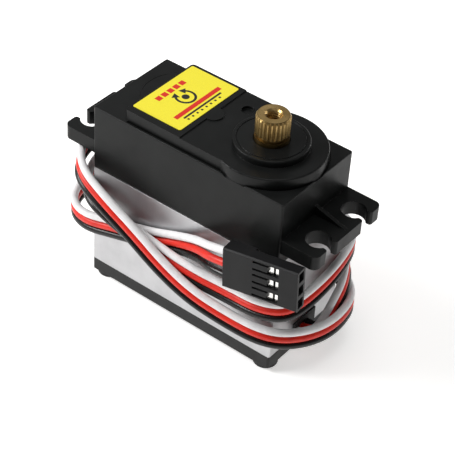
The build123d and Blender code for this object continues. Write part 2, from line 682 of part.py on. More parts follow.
def build_bottom_cover():
    """Thin moulded cover with a round boss under each corner screw."""
    cover = rounded(CASE_LENGTH, CASE_WIDTH, CORNER_R, FOOT_DROP, COVER_TOP)
    low_edges = cover.edges().group_by(Axis.Z)[0]
    cover = chamfer(low_edges, COVER_CHAMFER)
    outer = rounded(CASE_LENGTH, CASE_WIDTH, CORNER_R, 0, COVER_TOP)
    inner_length = CASE_LENGTH - 2 * COVER_WALL
    inner_width = CASE_WIDTH - 2 * COVER_WALL
    floor = FOOT_DROP + COVER_FLOOR
    space = rounded(inner_length, inner_width, INNER_CORNER_R, floor, COVER_TOP)
    for x, y in corners():
        foot = rod(x, y, 0, floor, BOSS_R)
        foot = fillet(foot.edges().group_by(Axis.Z)[0], FOOT_FILLET)
        cover += foot & outer
        space -= rod(x, y, 0, COVER_TOP, BOSS_R)
    cover -= space
    recess_top = SCREW_HEAD_BOTTOM + SCREW_HEAD
    for x, y in corners():
        cover -= rod(x, y, 0, recess_top, SCREW_HEAD_R + MERGE)
        cover -= rod(x, y, 0, COVER_TOP, SCREW_CLEAR_R)
    write("bottom_cover", solid_of(cover))


def build_gaskets():
    """Flat rubber gaskets in the two seams of the case."""
    top = gasket_outline(MIDDLE_TOP, TOP_BASE, TOP_WALL)
    write("top_gasket", solid_of(top))
    bottom = gasket_outline(COVER_TOP, MIDDLE_BASE, MIDDLE_WALL)
    write("bottom_gasket", solid_of(bottom))


def build_case_screws():
    """Four long cross-recess screws from below."""
    z0 = SCREW_HEAD_BOTTOM
    z1 = z0 + SCREW_HEAD
    cross_z = z0 + CROSS_RECESS[2] / 2
    screws = []
    for x, y in corners():
        head = rod(x, y, z0, z1, SCREW_HEAD_R)
        head = fillet(head.edges().group_by(Axis.Z)[0], SCREW_HEAD_FILLET)
        screw = head + rod(x, y, z1, SCREW_TIP, SCREW_R)
        for turn in (0, 90):
            screw -= Pos(x, y, cross_z) * Rot(0, 0, turn) * Box(*CROSS_RECESS)
        screws.append(solid_of(screw))
    write("case_screws", group(screws))


def build_label():
    """Printed sticker on the raised pad."""
    sticker = block(*LABEL_X, *LABEL_Y, LABEL_PAD_TOP, LABEL_PAD_TOP + LABEL_THICK)
    sticker = fillet(sticker.edges().filter_by(Axis.Z), LABEL_CORNER_R)
    write("label", solid_of(sticker))


# ---- motor ----
def terminal(y, z0, z1):
    """One of the motor's two terminals, or the slot for it."""
    half_x, half_y = TERMINAL_HALF
    return block(MOTOR_X - half_x, MOTOR_X + half_x, y - half_y, y + half_y, z0, z1)


def build_motor_can():
    """Drawn can with its front boss, the front bush and the two magnets."""
    x = MOTOR_X
    inner_r = MOTOR_R - CAN_WALL
    can = rod(x, 0, CAN_BOTTOM, CAN_TOP, MOTOR_R)
    can += rod(x, 0, CAN_TOP, MOTOR_BOSS_TOP, MOTOR_BOSS_R - BUSH_GAP)
    can -= rod(x, 0, CAN_BOTTOM, CAN_TOP - CAN_WALL, inner_r)
    can -= rod(x, 0, CAN_TOP - CAN_WALL, MOTOR_BOSS_TOP, BUSH_R)
    for y in (-MOTOR_SCREW_Y, MOTOR_SCREW_Y):
        can -= rod(x, y, CAN_TOP - CAN_WALL, CAN_TOP, MOTOR_SCREW_R)
    write("motor_can", solid_of(can))
    bush = tube(x, 0, FRONT_BUSH_BOTTOM, MOTOR_BOSS_TOP, BUSH_R, MOTOR_SHAFT_R + BUSH_GAP)
    write("motor_front_bush", solid_of(bush))
    gap = block(x - MOTOR_R, x + MOTOR_R, -MAGNET_HALF_GAP, MAGNET_HALF_GAP, *MAGNET_Z)
    magnets = (tube(x, 0, *MAGNET_Z, inner_r, MAGNET_R) - gap).solids()
    write("motor_magnets", group(magnets))


def build_motor_end_cap():
    """Moulded end cap with the rear bush, the terminals and the brushes."""
    x = MOTOR_X
    spigot_top = CAN_BOTTOM + END_CAP_SPIGOT
    cap = rod(x, 0, END_CAP_BOTTOM, CAN_BOTTOM, MOTOR_R)
    cap += rod(x, 0, CAN_BOTTOM, spigot_top, MOTOR_R - CAN_WALL)
    cap -= rod(x, 0, END_CAP_BOTTOM + END_CAP_FLOOR, spigot_top, END_CAP_BORE_R)
    cap -= rod(x, 0, END_CAP_BOTTOM, spigot_top, BUSH_R)
    tabs = []
    brushes = []
    for side in (-1, 1):
        y = side * TERMINAL_Y
        cap -= terminal(y, END_CAP_BOTTOM, spigot_top)
        tabs.append(solid_of(terminal(y, BOARD_Z[0], TERMINAL_TOP)))
        outer, back, face = (side * distance for distance in BRUSH_Y)
        half_x = TERMINAL_HALF[0]
        brush = block(x - half_x, x + half_x, *sorted((outer, face)), *BRUSH_ARM_Z)
        brush += block(x - half_x, x + half_x, *sorted((back, face)), *BRUSH_PAD_Z)
        brushes.append(solid_of(brush))
    write("motor_end_cap", solid_of(cap))
    bush = tube(x, 0, END_CAP_BOTTOM, REAR_BUSH_TOP, BUSH_R, MOTOR_SHAFT_R + BUSH_GAP)
    write("motor_rear_bush", solid_of(bush))
    write("motor_terminals", group(tabs))
    write("motor_brushes", group(brushes))


def build_motor_screws():
    """Two slotted screws that hold the motor under the bearing deck."""
    half_slot, slot_depth = MOTOR_SCREW_SLOT
    x0 = MOTOR_X - MOTOR_SCREW_HEAD_R
    x1 = MOTOR_X + MOTOR_SCREW_HEAD_R
    screws = []
    for y in (-MOTOR_SCREW_Y, MOTOR_SCREW_Y):
        screw = rod(MOTOR_X, y, MOTOR_SCREW_BOTTOM, MIDDLE_TOP, MOTOR_SCREW_R)
        screw += rod(MOTOR_X, y, MIDDLE_TOP, MOTOR_SCREW_TOP, MOTOR_SCREW_HEAD_R)
        slot_z = MOTOR_SCREW_TOP - slot_depth
        screw -= block(x0, x1, y - half_slot, y + half_slot, slot_z, MOTOR_SCREW_TOP)
        screws.append(solid_of(screw))
    write("motor_screws", group(screws))


def build_rotor():
    """Motor shaft and commutator, and the three-pole stack with a coil on each pole."""
    place = Pos(MOTOR_X, 0, 0)
    z0, z1 = ARMATURE_Z
    length, half_width = SHOE_SECTOR
    wedge = make_face(Polyline((0, 0), (length, -half_width), (length, half_width), close=True))
    shoe = tube(0, 0, z0, z1, ARMATURE_R, SHOE_INNER_R) & (Pos(0, 0, z0) * extrude(wedge, z1 - z0))
    pole = block(0, COIL_X[1] + POLE_HALF_WIDTH, -POLE_HALF_WIDTH, POLE_HALF_WIDTH, z0, z1)
    coil_z = (z0 - COIL_OVERHANG, z1 + COIL_OVERHANG)
    coil = block(*COIL_X, -COIL_HALF_WIDTH, COIL_HALF_WIDTH, *coil_z)
    coil = fillet(coil.edges().filter_by(Axis.X), COIL_FILLET)
    inner = POLE_HALF_WIDTH + BUSH_GAP
    coil -= block(*COIL_X, -inner, inner, z0 - CLOSE_GAP, z1 + CLOSE_GAP)
    stack = rod(0, 0, z0, z1, ARMATURE_HUB_R)
    coils = []
    for turn in (0, 120, 240):
        stack += Rot(0, 0, turn) * (pole + shoe)
        coils.append(solid_of(place * Rot(0, 0, turn) * coil))
    stack -= rod(0, 0, z0, z1, MOTOR_SHAFT_R)
    write("motor_armature", solid_of(place * stack))
    write("motor_windings", group(coils))
    write("motor_shaft", solid_of(rod(MOTOR_X, 0, *MOTOR_SHAFT_Z, MOTOR_SHAFT_R)))
    commutator = tube(MOTOR_X, 0, *COMMUTATOR_Z, COMMUTATOR_R, MOTOR_SHAFT_R)
    write("motor_commutator", solid_of(commutator))


# ---- position sensor and board ----
def sensor_pin(y, z0, z1):
    """One of the sensor's three pins, or the hole for it."""
    half_x, half_y = POT_PIN_HALF
    return block(OUTPUT_X - half_x, OUTPUT_X + half_x, y - half_y, y + half_y, z0, z1)


def build_potentiometer():
    """Position sensor under the output shaft: housing, resistance track and turning wiper."""
    x = OUTPUT_X
    z0, z1 = POT_Z
    neck_top = LOWER_BEARING[0]
    floor = z0 + POT_FLOOR
    roof = z1 - POT_ROOF
    inner_r = POT_R - POT_WALL
    housing = rod(x, 0, z0, z1, POT_R) + rod(x, 0, z1, neck_top, POT_NECK_R)
    housing -= rod(x, 0, floor, roof, inner_r)
    housing -= rod(x, 0, roof - MERGE, neck_top, POT_NECK_BORE_R)
    write("potentiometer_housing", solid_of(housing))
    track = tube(x, 0, floor, floor + TRACK_THICK, inner_r, TRACK_INNER_R)
    write("potentiometer_track", solid_of(track))
    wiper = rod(x, 0, *WIPER_Z, WIPER_R)
    wiper += rod(x, 0, WIPER_Z[1], SHAFT_BOTTOM + POT_SHAFT_DEPTH, POT_SHAFT_R)
    finger_x = (x + WIPER_FINGER_X[0], x + WIPER_FINGER_X[1])
    finger_z = (floor + TRACK_THICK + MERGE, WIPER_Z[0] + MERGE)
    wiper += block(*finger_x, -WIPER_FINGER_HALF, WIPER_FINGER_HALF, *finger_z)
    write("potentiometer_wiper", solid_of(wiper))
    pins = [solid_of(sensor_pin(y, BOARD_Z[0], z0)) for y in POT_PIN_Y]
    write("potentiometer_pins", group(pins))


def build_board():
    """Control board with its controller chip, drive transistors and capacitor."""
    board = rounded(*BOARD_SIZE, BOARD_CORNER_R, *BOARD_Z)
    for y in (-TERMINAL_Y, TERMINAL_Y):
        board -= terminal(y, *BOARD_Z)
    for y in POT_PIN_Y:
        board -= sensor_pin(y, *BOARD_Z)
    write("control_board", solid_of(board))
    top = BOARD_Z[1]
    write("microcontroller", solid_of(block(*CHIP, top, top + CHIP_HEIGHT)))
    half_x, half_y = TRANSISTOR_HALF
    transistors = []
    for x, y in TRANSISTORS:
        package = block(x - half_x, x + half_x, y - half_y, y + half_y, top, top + TRANSISTOR_HEIGHT)
        transistors.append(solid_of(package))
    write("drive_transistors", group(transistors))
    write("capacitor", solid_of(rod(*CAPACITOR, top, top + CAPACITOR_HEIGHT, CAPACITOR_R)))


# ---- lead ----
def wire_points(side):
    """Corner points of one wire of the lead."""
    return [Vector(*point) + Vector(*across) * side for point, across in LEAD_ROUTE]


def bend_radii(points):
    """Radius of the arc at each corner, as large as its two runs allow."""
    radii = []
    for before, corner, after in zip(points, points[1:], points[2:]):
        run_in = corner - before
        run_out = after - corner
        half_turn = math.radians(run_in.get_angle(run_out)) / 2
        shorter = min(run_in.length, run_out.length)
        radii.append(CORNER_SHARE * shorter / math.tan(half_turn))
    return radii


def build_wires():
    """Three insulated wires, each a tube of straight runs joined by tangent arcs."""
    for node, side in WIRE_SIDES.items():
        points = wire_points(side)
        radii = bend_radii(points)
        path = FilletPolyline(*points, radius=radii)
        start = path.edges()[0]
        profile = Plane(start @ 0, z_dir=start % 0) * Circle(WIRE_D / 2)
        wire = sweep(profile, path)
        expected = math.pi * (WIRE_D / 2) ** 2 * path.length
        print(node, "length", round(path.length, 1), "volume share", round(wire.volume / expected, 4))
        print("  radii", [round(radius, 1) for radius in radii])
        write(node, solid_of(wire))


# ---- connector and grommet ----
def connector_place():
    """Local frame of the connector: X towards its mating end, Z up its row of contacts."""
    return Plane(origin=CONNECTOR_CENTRE, x_dir=CONNECTOR_AXIS, z_dir=CONNECTOR_UP)


def build_connector():
    """Three-way female housing with latch windows, and its three crimped contacts."""
    place = connector_place()
    half_length = CONNECTOR_LENGTH / 2
    half_thick = CONNECTOR_THICK / 2
    half_height = CONNECTOR_HEIGHT / 2
    step_end, step_height = CONNECTOR_STEP
    housing = block(-half_length, half_length, -half_thick, half_thick, -half_height, half_height)
    back_y = half_thick + step_height
    housing += block(-half_length, step_end, 0, back_y, -half_height, half_height)
    long_edges = housing.edges().filter_by(Axis.X)
    outer_edges = [e for e in long_edges if abs(abs(e.center().Z) - half_height) < MERGE]
    housing = chamfer(outer_edges, CONNECTOR_CHAMFER)
    half_y, half_z = CAVITY_HALF
    tongue_start = WINDOW[0] - MERGE
    for row in (-1, 0, 1):
        z = row * CONTACT_PITCH
        housing -= block(-half_length, half_length, -half_y, half_y, z - half_z, z + half_z)
        housing -= block(*WINDOW, -half_thick, 0, z - half_z, z + half_z)
        tongue_z = (z - TONGUE_HALF, z + TONGUE_HALF)
        housing += block(tongue_start, TONGUE_END, -half_thick, -half_y, *tongue_z)
    write("connector_housing", solid_of(place * housing))
    for node, row in CONTACT_ROWS:
        write(node, solid_of(place * crimped_contact(row * CONTACT_PITCH)))


def crimped_contact(z):
    """Box contact with its latch notch, and the neck that is crimped on the wire."""
    half_y, half_z = CONTACT_HALF
    bore = CONTACT_BORE_HALF
    contact = block(*CONTACT_X, -half_y, half_y, z - half_z, z + half_z)
    contact -= block(0, CONTACT_X[1], -bore, bore, z - bore, z + bore)
    contact -= block(*CONTACT_LATCH, -half_z, -bore + MERGE / 2, z - half_z, z + half_z)
    middle, length, radius = CONTACT_NECK
    return contact + Pos(middle, 0, z) * Rot(0, 90, 0) * Cylinder(radius, length)


def build_grommet():
    """Rubber grommet where the lead leaves the case, and the stretch of lead inside it."""
    half = GROMMET_HALF_WIDTH
    flange, overhang = GROMMET_FLANGE
    wide = half + overhang
    wall_x = CASE_LENGTH / 2 - MIDDLE_WALL
    plug = block(wall_x, EXIT_X, -half, half, MIDDLE_BASE, GROMMET_Z)
    plug += block(wall_x - flange, wall_x, -wide, wide, MIDDLE_BASE, GROMMET_Z)
    exit_point = LEAD_ROUTE[0][0]
    start_x = BOARD_SIZE[0] / 2
    straight = Rot(0, 90, 0) * Cylinder(WIRE_D / 2, EXIT_X - start_x)
    leads = []
    for side in WIRE_SIDES.values():
        y = exit_point[1] - side * WIRE_PITCH
        lead = Pos((start_x + EXIT_X) / 2, y, exit_point[2]) * straight
        plug -= lead
        leads.append(solid_of(lead))
    write("lead_grommet", solid_of(plug))
    write("inner_leads", group(leads))


def main():
    os.makedirs(PARTS, exist_ok=True)
    build_top_case()
    build_middle_case()
    build_bottom_cover()
    build_gaskets()
    build_case_screws()
    build_label()
    build_output_shaft()
    build_bearings()
    build_pins()
    build_gears()
    build_motor_can()
    build_motor_end_cap()
    build_motor_screws()
    build_rotor()
    build_potentiometer()
    build_board()
    build_wires()
    build_connector()
    build_grommet()


main()
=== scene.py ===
import math

import bpy
from mathutils import Matrix, Vector


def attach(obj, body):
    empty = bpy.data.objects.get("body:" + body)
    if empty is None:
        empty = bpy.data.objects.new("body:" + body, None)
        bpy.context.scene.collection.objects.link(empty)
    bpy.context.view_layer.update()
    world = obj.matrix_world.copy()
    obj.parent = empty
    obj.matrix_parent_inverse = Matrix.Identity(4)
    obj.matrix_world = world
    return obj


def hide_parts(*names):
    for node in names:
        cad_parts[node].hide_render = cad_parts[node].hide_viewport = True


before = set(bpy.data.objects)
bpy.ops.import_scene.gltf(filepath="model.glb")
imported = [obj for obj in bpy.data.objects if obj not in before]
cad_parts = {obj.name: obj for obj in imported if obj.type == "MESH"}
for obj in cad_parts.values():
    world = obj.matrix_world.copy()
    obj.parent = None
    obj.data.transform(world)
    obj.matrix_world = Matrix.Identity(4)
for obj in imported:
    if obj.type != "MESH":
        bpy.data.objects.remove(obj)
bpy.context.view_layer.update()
MM = 0.001
ROOT = "case"

# ---- camera ----
CAMERA_AZIMUTH = 35.496
CAMERA_ELEVATION = 39.929
CAMERA_ROLL = 4.008
CAMERA_DISTANCE = 0.28992
CAMERA_TARGET = Vector((0.0, 0.0, 0.0205))
CAMERA_SHIFT = (0.002091, -0.003648)
CAMERA_LENS = 130.9

# ---- the lead: the red wire's point and the step from it to the white wire, in mm ----
WIRE_DIAMETER = 1.4 * MM
LEAD_ROUTE = (
    ((20.5, -0.8, 5.0), (0, -1.5, 0)),
    ((22.7, -0.7, 5.2), (0, -1.48, 0.25)),
    ((24.1, 0.5, 6.9), (0, -1.35, 0.65)),
    ((24.3, 3.0, 9.4), (0, -1.1, 1.0)),
    ((23.8, 6.8, 11.9), (0, -0.8, 1.27)),
    ((20.8, 11.4, 13.8), (0, -0.3, 1.47)),
    ((13.0, 11.6, 15.6), (0.15, 0, 1.49)),
    ((2.5, 11.0, 18.4), (0.35, 0, 1.46)),
    ((-9.0, 11.0, 22.0), (0.4, 0, 1.45)),
    ((-19.0, 11.8, 24.4), (0.2, 0, 1.49)),
    ((-24.6, 7.6, 24.9), (0, 0, 1.5)),
    ((-25.6, 0.0, 25.0), (0, 0, 1.5)),
    ((-24.9, -7.6, 25.0), (0, 0, 1.5)),
    ((-21.2, -12.6, 24.4), (0.5, 0, 1.4)),
    ((-14.6, -14.0, 22.3), (0.7, 0, 1.33)),
    ((-7.5, -14.1, 18.9), (0.75, 0, 1.3)),
    ((-1.0, -14.0, 14.9), (0.75, 0, 1.3)),
    ((5.4, -13.5, 11.8), (0.6, 0, 1.37)),
    ((12.6, -12.3, 9.9), (0.35, 0, 1.46)),
    ((18.8, -11.7, 9.5), (0.15, 0, 1.49)),
    ((22.9, -9.2, 9.0), (0.05, 0, 1.5)),
    ((25.7, -3.5, 8.1), (0, 0, 1.5)),
    ((26.3, 2.5, 7.7), (0, 0, 1.5)),
    ((24.9, 8.6, 7.9), (0, 0, 1.5)),
    ((19.0, 12.0, 8.6), (-0.2, 0, 1.49)),
    ((8.0, 11.0, 11.0), (0.4, 0, 1.45)),
    ((-5.5, 11.0, 15.4), (0.5, 0, 1.41)),
    ((-18.5, 12.2, 19.0), (0.35, 0, 1.46)),
    ((-24.6, 8.8, 19.8), (0, 0, 1.5)),
    ((-24.6, 0.6, 20.1), (0, 0, 1.5)),
    ((-23.6, -6.8, 20.4), (0, 0, 1.5)),
    ((-20.2, -11.6, 19.9), (0.4, 0, 1.45)),
    ((-13.5, -12.4, 18.2), (0.45, 0, 1.43)),
    ((-5.0, -12.4, 16.4), (0.3, 0, 1.47)),
    ((3.5, -12.3, 15.2), (0.15, 0, 1.49)),
    ((11.5, -11.3, 14.6), (0, 0, 1.5)),
    ((18.4, -11.5, 15.0), (-0.1, 0, 1.5)),
    ((23.2, -9.6, 15.9), (-0.1, 0, 1.5)),
    ((24.6, -3.6, 17.5), (-0.1, 0, 1.5)),
    ((24.7, 3.0, 19.2), (0, 0, 1.5)),
    ((23.2, 9.2, 20.1), (0, 0, 1.5)),
    ((17.5, 13.4, 19.4), (-0.1, 0, 1.5)),
    ((6.0, 13.0, 17.0), (-0.15, 0, 1.49)),
    ((-6.0, 12.9, 15.8), (-0.15, 0, 1.49)),
    ((-17.5, 13.9, 14.4), (-0.1, 0, 1.5)),
    ((-25.6, 9.6, 13.5), (0, 0, 1.5)),
    ((-28.0, 1.0, 12.8), (0, 0, 1.5)),
    ((-27.6, -7.6, 11.9), (0, 0, 1.5)),
    ((-22.0, -11.2, 12.2), (-0.2, 0, 1.49)),
    ((-14.0, -10.7, 14.2), (-0.4, 0, 1.45)),
    ((-6.0, -10.7, 16.4), (-0.4, 0, 1.45)),
    ((0.6, -10.7, 19.0), (-0.42, 0, 1.5)),
    ((5.4, -11.9, 21.2), (-0.45, 0.06, 1.85)),
    ((9.6, -14.1, 23.2), (-0.32, 0.13, 2.28)),
    ((14.72, -13.89, 24.01), (-0.246, 0.178, 2.52)),
)
WIRES = {    # steps to the side, length in metres, contact
    "signal_wire": (1, 0.4042, "signal_contact"),
    "power_wire": (0, 0.4030, "power_contact"),
    "ground_wire": (-1, 0.4020, "ground_contact"),
}


# ---- the output shaft, in mm ----
OUTPUT_X = 10.25
SPLINE_ROOT_R = 2.72
SPLINE_TIP_R = 2.96
THREAD_PITCH = 0.5
THREAD_TOP = 45.2
THREAD_BOTTOM = 39.3
THREAD_CREST_R = 1.08
THREAD_ROOT_R = 1.24
THREAD_SIDES = 48
THREAD_STEPS = 8            # rows of points in a pitch

# ---- the label's print, in mm, as x0, x1, y0, y1 where it is a patch ----
PRINT_Z = 39.70
PRINT_THICK = 0.012
BLOCK_X = (-11.95, -10.85)
BLOCK_WIDTH = 1.15
BLOCK_STARTS = (-3.6, -2.05, -0.5, 1.05, 2.6)
RED_STRIPE = (-6.15, -5.25, -5.6, 6.4)
BLACK_STRIPE = (-4.85, -4.45, -4.6, 5.4)
TICK_X = (-4.15, -3.75)
TICK_WIDTH = 0.4
TICK_STARTS = (-4.4, -3.2, -2.0, -0.8, 0.4, 1.6, 2.8, 4.0)
SIGN_CENTRE = (-8.35, 0.4)
SIGN_BAND = (1.5, 1.95)     # inner and outer radius of the turning sign's band
SIGN_REACH = 130            # degrees to each side of +X
SIGN_DOT_R = 0.7
SIGN_DOT_SIDES = 24
ARROW_R = 1.72
ARROW_HALF = 0.75
ARROW_LENGTH = 1.25

# ---- the gate mark, a fine ridge moulded on the roof, in mm ----
GATE_CENTRE = (-10.6, 2.6, 37.38)
GATE_R = 7.4
GATE_SWEEP = (128, 218)     # degrees
GATE_STEPS = 30
GATE_WIDTH = 0.30
GATE_HEIGHT = 0.07

# ---- wear, painted edge highlights, the shaft's darker foot and painted shade between its splines ----
EDGE_TURN = (0.995, 0.80)   # cosines of a bevelled edge's turn, where wear and painted highlight start and are full
EDGE_POLISH = 0.16          # how much smoother a rubbed edge is
DARKENED_BRASS_SHADE = 0.42            # of the dark brass, where it is darkened: at the foot and as painted shade between the splines
DARKENED_BRASS_ROUGHNESS = 0.1         # added where the brass is darkened
DARK_FOOT_HEIGHTS = (41.6, 42.3)  # mm; fully darkened below the first, not at all above the second
VALLEY_SHADE = 0.8            # how much painted shade lies in the valleys between the splines
VALLEY_MARGIN = 0.1         # mm inside the root where the valleys' painted shade ends

# ---- the room, in metres and watts ----
WORLD_COLOUR = (1.0, 0.995, 0.985, 1)
WORLD_STRENGTH = 0.09
FLOOR_HALF = 3.0
FLOOR_CLOUD_MM = 40.0
FLOOR_TONES = ((0.86, 0.858, 0.85), (0.89, 0.888, 0.88))
FLOOR_GLOW = 0.52           # a backlit table, which keeps the shadows faint
LIGHT_TARGET = (0, 0, 0.02)
LIGHTS = {
    "key": ((-0.42, -0.30, 0.40), (0.30, 0.30), 4.0),
    "overhead": ((0.02, -0.02, 0.70), (0.45, 0.45), 1.7),
    "sheen": ((-0.38, 0.32, 0.36), (0.35, 0.35), 0.20),
    "edge": ((0.16, 0.50, 0.16), (0.50, 0.06), 0.7),
}


def build_camera():
    """The camera, at the angle of a hand-held product shot with a little roll."""
    azimuth, elevation = math.radians(CAMERA_AZIMUTH), math.radians(CAMERA_ELEVATION)
    flat = math.cos(elevation)
    back = Vector((math.sin(azimuth) * flat, -math.cos(azimuth) * flat, math.sin(elevation)))
    right = Vector((math.cos(azimuth), math.sin(azimuth), 0))
    up = back.cross(right)
    place = CAMERA_TARGET + back * CAMERA_DISTANCE
    place += right * CAMERA_SHIFT[0] + up * CAMERA_SHIFT[1]
    roll = math.radians(CAMERA_ROLL)
    rolled_right = right * math.cos(roll) + up * math.sin(roll)
    rolled_up = up * math.cos(roll) - right * math.sin(roll)
    turn = Matrix((rolled_right, rolled_up, back)).transposed().to_4x4()
    data = bpy.data.cameras.new("camera")
    data.sensor_width = 36
    data.lens = CAMERA_LENS
    data.clip_start = 0.01
    camera = bpy.data.objects.new("camera", data)
    camera.matrix_world = Matrix.Translation(place) @ turn
    bpy.context.scene.collection.objects.link(camera)
    bpy.context.scene.camera = camera


def wire_curve(name, side):
    """One wire's centreline as a smooth curve, with its insulation as the curve's bevel."""
    data = bpy.data.curves.new(name, "CURVE")
    data.dimensions = "3D"
    spline = data.splines.new("NURBS")
    spline.points.add(len(LEAD_ROUTE) - 1)
    for point, (middle, across) in zip(spline.points, LEAD_ROUTE):
        place = (Vector(middle) + Vector(across) * side) * MM
        point.co = (*place, 1)
        point.radius = WIRE_DIAMETER / 2
    spline.order_u = 3
    spline.use_endpoint_u = True
    spline.resolution_u = 10
    data.bevel_depth = 1.0  # times each point's radius
    data.bevel_resolution = 6
    data.use_fill_caps = True
    piece = bpy.data.objects.new(name, data)
    bpy.context.scene.collection.objects.link(piece)
    return piece


def build_lead():
    """The three wires of the flat lead, wound round the case and crimped into the connector."""
    made = {}
    for node, (side, length, contact) in WIRES.items():
        piece = wire_curve(node.replace("_wire", "_insulation"), side)
        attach(piece, ROOT)
        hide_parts(node)
        made[node] = piece
    return made


# ---- materials ----
class Graph:
    """A material's node tree, with short calls to add and join nodes."""

    def __init__(self, name):
        self.material = bpy.data.materials.new(name)
        self.material.use_nodes = True
        self.tree = self.material.node_tree
        self.shader = self.tree.nodes["Principled BSDF"]
        self.place = self.add("ShaderNodeTexCoord").outputs["Object"]

    def add(self, kind, **values):
        node = self.tree.nodes.new(kind)
        for key, value in values.items():
            setattr(node, key, value)
        return node

    def join(self, source, target):
        self.tree.links.new(source, target)

    def stretched(self, stretch):
        """Object coordinates, scaled along each axis."""
        node = self.add("ShaderNodeMapping")
        node.inputs["Scale"].default_value = stretch
        self.join(self.place, node.inputs["Vector"])
        return node.outputs["Vector"]

    def noise(self, size_mm, detail=3.0, stretch=(1, 1, 1)):
        """Cloudy noise with features of about this size."""
        node = self.add("ShaderNodeTexNoise")
        node.inputs["Scale"].default_value = 1 / (size_mm * MM)
        node.inputs["Detail"].default_value = detail
        self.join(self.stretched(stretch), node.inputs["Vector"])
        return node.outputs["Fac"]

    def spread(self, factor, low, high, to_low=0.0, to_high=1.0):
        """The factor's range from low to high, spread over another range and held beyond it."""
        node = self.add("ShaderNodeMapRange")
        node.inputs["From Min"].default_value = low
        node.inputs["From Max"].default_value = high
        node.inputs["To Min"].default_value = to_low
        node.inputs["To Max"].default_value = to_high
        self.join(factor, node.inputs["Value"])
        return node.outputs["Result"]

    def math(self, operation, first, second=0.0):
        """Arithmetic on numbers or sockets."""
        node = self.add("ShaderNodeMath", operation=operation)
        for socket, value in zip(node.inputs, (first, second)):
            if isinstance(value, (int, float)):
                socket.default_value = value
            else:
                self.join(value, socket)
        return node.outputs[0]

    def mix(self, factor, dark, light):
        """A colour between dark and light, which are colours or sockets."""
        node = self.add("ShaderNodeMix", data_type="RGBA")
        self.join(factor, node.inputs["Factor"])
        for key, value in (("A", dark), ("B", light)):
            socket = [s for s in node.inputs if s.name == key and s.type == "RGBA"][0]
            if isinstance(value, tuple):
                socket.default_value = (*value, 1)
            else:
                self.join(value, socket)
        return [s for s in node.outputs if s.type == "RGBA"][0]

    def worn_normal(self, radius_mm):
        """A normal that rounds hard edges, and how strongly it is rounded there."""
        bevel = self.add("ShaderNodeBevel", samples=4)
        bevel.inputs["Radius"].default_value = radius_mm * MM
        plain = self.add("ShaderNodeNewGeometry").outputs["Normal"]
        dot = self.add("ShaderNodeVectorMath", operation="DOT_PRODUCT")
        self.join(bevel.outputs["Normal"], dot.inputs[0])
        self.join(plain, dot.inputs[1])
        return bevel.outputs["Normal"], self.spread(dot.outputs["Value"], *EDGE_TURN)

    def bump(self, height, depth_mm, normal=None):
        """The normal of a surface with this relief."""
        node = self.add("ShaderNodeBump")
        node.inputs["Distance"].default_value = depth_mm * MM
        node.inputs["Strength"].default_value = 1.0
        self.join(height, node.inputs["Height"])
        if normal is not None:
            self.join(normal, node.inputs["Normal"])
        return node.outputs["Normal"]

    def finish(self, colour, rough, normal=None, **fixed):
        """The material, with its other inputs named in lower case with underscores."""
        self.join(colour, self.shader.inputs["Base Color"])
        if isinstance(rough, float):
            self.shader.inputs["Roughness"].default_value = rough
        else:
            self.join(rough, self.shader.inputs["Roughness"])
        if normal is not None:
            self.join(normal, self.shader.inputs["Normal"])
        for key, value in fixed.items():
            label = key.replace("_", " ").title().replace("Ior", "IOR")
            self.shader.inputs[label].default_value = value
        return self.material


def moulded(name, dark, light, rough, grain_mm=0.16, depth_mm=0.004, edge_wear_and_highlight=0.5, edge_mm=0.14,
            specular=0.5):
    """Moulded plastic: fine spark-eroded grain, faint flow marks and edges painted lighter,
    partly as rubbed wear and partly as a painted highlight with dotted glints.
    """
    g = Graph(name)
    flow = g.noise(9.0, 4.0, (1, 0.5, 0.5))
    grain = g.noise(grain_mm, 2.0)
    normal, edge = g.worn_normal(edge_mm)
    colour = g.mix(g.spread(flow, 0.35, 0.65), dark, light)
    # edges painted lighter: partly rubbed wear, partly a painted highlight; the speckle breaks
    # it into dotted painted glints
    rubbed_and_highlit = tuple(min(1.0, 2.2 * c + 0.01) for c in light)
    scuff_and_glint_dots = g.spread(g.noise(0.5, 4.0), 0.42, 0.62)
    wear_and_highlight_mask = g.math("MULTIPLY", edge, scuff_and_glint_dots)
    colour = g.mix(g.math("MULTIPLY", wear_and_highlight_mask, edge_wear_and_highlight), colour, rubbed_and_highlit)
    roughness = g.spread(g.noise(2.5, 5.0), 0.3, 0.7, rough - 0.05, rough + 0.06)
    roughness = g.math("SUBTRACT", roughness, g.math("MULTIPLY", wear_and_highlight_mask, EDGE_POLISH))
    relief = g.bump(grain, depth_mm, normal)
    return g.finish(colour, roughness, relief, specular_ior_level=specular)


def metal(name, dark, light, rough, grain=(1, 1, 1), grain_mm=0.12, depth_mm=0.0015,
          edge_mm=0.1):
    """Bare or plated metal with a directional finish, slight tarnish and edges painted lighter,
    partly as wear and partly as a painted highlight.
    """
    g = Graph(name)
    tarnish = g.noise(3.0, 5.0)
    lines = g.noise(grain_mm, 3.0, grain)
    colour = g.mix(g.spread(tarnish, 0.3, 0.7), dark, light)
    normal = None
    if edge_mm:
        normal, edge = g.worn_normal(edge_mm)
        # edges painted lighter: partly rubbed wear, partly a painted highlight
        highlit_edge_colour = tuple(min(1.0, c * 1.12) for c in light)
        colour = g.mix(edge, colour, highlit_edge_colour)
    roughness = g.spread(lines, 0.3, 0.7, rough - 0.05, rough + 0.07)
    return g.finish(colour, roughness, g.bump(lines, depth_mm, normal), metallic=1.0)


